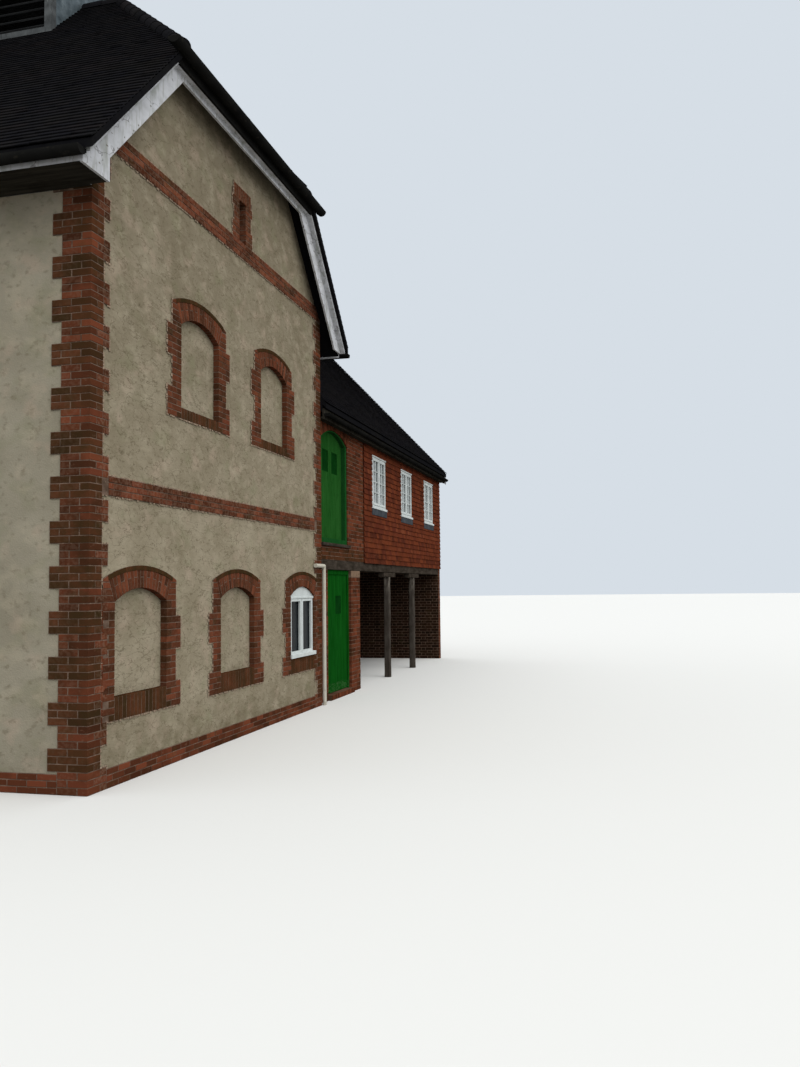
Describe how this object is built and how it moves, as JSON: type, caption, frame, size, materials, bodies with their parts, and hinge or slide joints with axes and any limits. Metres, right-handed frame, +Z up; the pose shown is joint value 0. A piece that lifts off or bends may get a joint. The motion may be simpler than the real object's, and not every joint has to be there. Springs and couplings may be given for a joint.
{
  "type": "oast house",
  "caption": "Square brick oast kiln with half-hipped tiled roof and louvred ridge ventilator, joined to a long tile-hung wing over an open undercroft, with an opening plank door.",
  "frame": {"origin": "middle of the building's plan at ground level", "axes": "+X along the front towards the wing's end, +Y from the front into the building, +Z up"},
  "size_m": [18.3, 7.92, 12.6106],
  "materials": {
    "brick": "red-brown stock brick laid in pale lime mortar",
    "render": "cream-grey roughcast render",
    "roof_tile": "dark weathered plain clay tiles",
    "hung_tile": "orange-red hung clay tiles",
    "white_joinery": "white gloss paint on softwood, weathered",
    "green_joinery": "bright green gloss paint on boards",
    "grey_timber": "weathered grey oak",
    "floor_timber": "sawn softwood boards and joists",
    "paved_floor": "worn brick paving",
    "slat": "dark weathered louvre boards",
    "lead": "dull milled lead sheet",
    "gutter": "black painted cast iron",
    "plastic_pipe": "white plastic waste pipe",
    "glass": "clear window glass before dark rooms"
  },
  "bodies": {
    "building": {"kiln_front_wall": "brick", "kiln_back_wall": "brick", "kiln_left_wall": "brick", "kiln_right_wall": "brick", "kiln_front_render": "render", "kiln_back_render": "render", "kiln_side_render": "render", "kiln_front_dressings": "brick", "kiln_back_dressings": "brick", "kiln_window_frames": "white_joinery", "kiln_floors": "floor_timber", "kiln_roof_left": "roof_tile", "kiln_roof_right": "roof_tile", "kiln_roof_hips": "roof_tile", "ridge_tiles": "roof_tile", "bargeboards": "white_joinery", "kiln_eaves": "white_joinery", "gutters": "gutter", "ventilator_frame": "white_joinery", "ventilator_ends": "lead", "ventilator_louvres": "slat", "ventilator_roof": "roof_tile", "ventilator_flashing": "lead", "entrance_piers": "brick", "entrance_upper_wall": "brick", "entrance_side_wall": "brick", "entrance_floor": "paved_floor", "door_frame": "green_joinery", "loading_door_frame": "green_joinery", "loading_doors": "green_joinery", "floor_beams": "grey_timber", "undercroft_posts": "grey_timber", "upper_floor": "floor_timber", "front_upper_wall": "hung_tile", "rear_wall": "brick", "rear_upper_wall": "hung_tile", "end_wall": "brick", "end_gable": "hung_tile", "wing_window_frames": "white_joinery", "window_glass": "glass", "wing_roof_front": "roof_tile", "wing_roof_back": "roof_tile", "wing_eaves": "gutter", "corner_pipe": "plastic_pipe"},
    "door": {"plank_door": "green_joinery"}
  },
  "joints": [
    {"name": "door_hinge", "type": "hinge", "parent": "building", "child": "door", "pos_m": [-0.836, -3.279, 1.2], "axis": [0, 0, 1], "range_deg": [0, 95]}
  ]
}
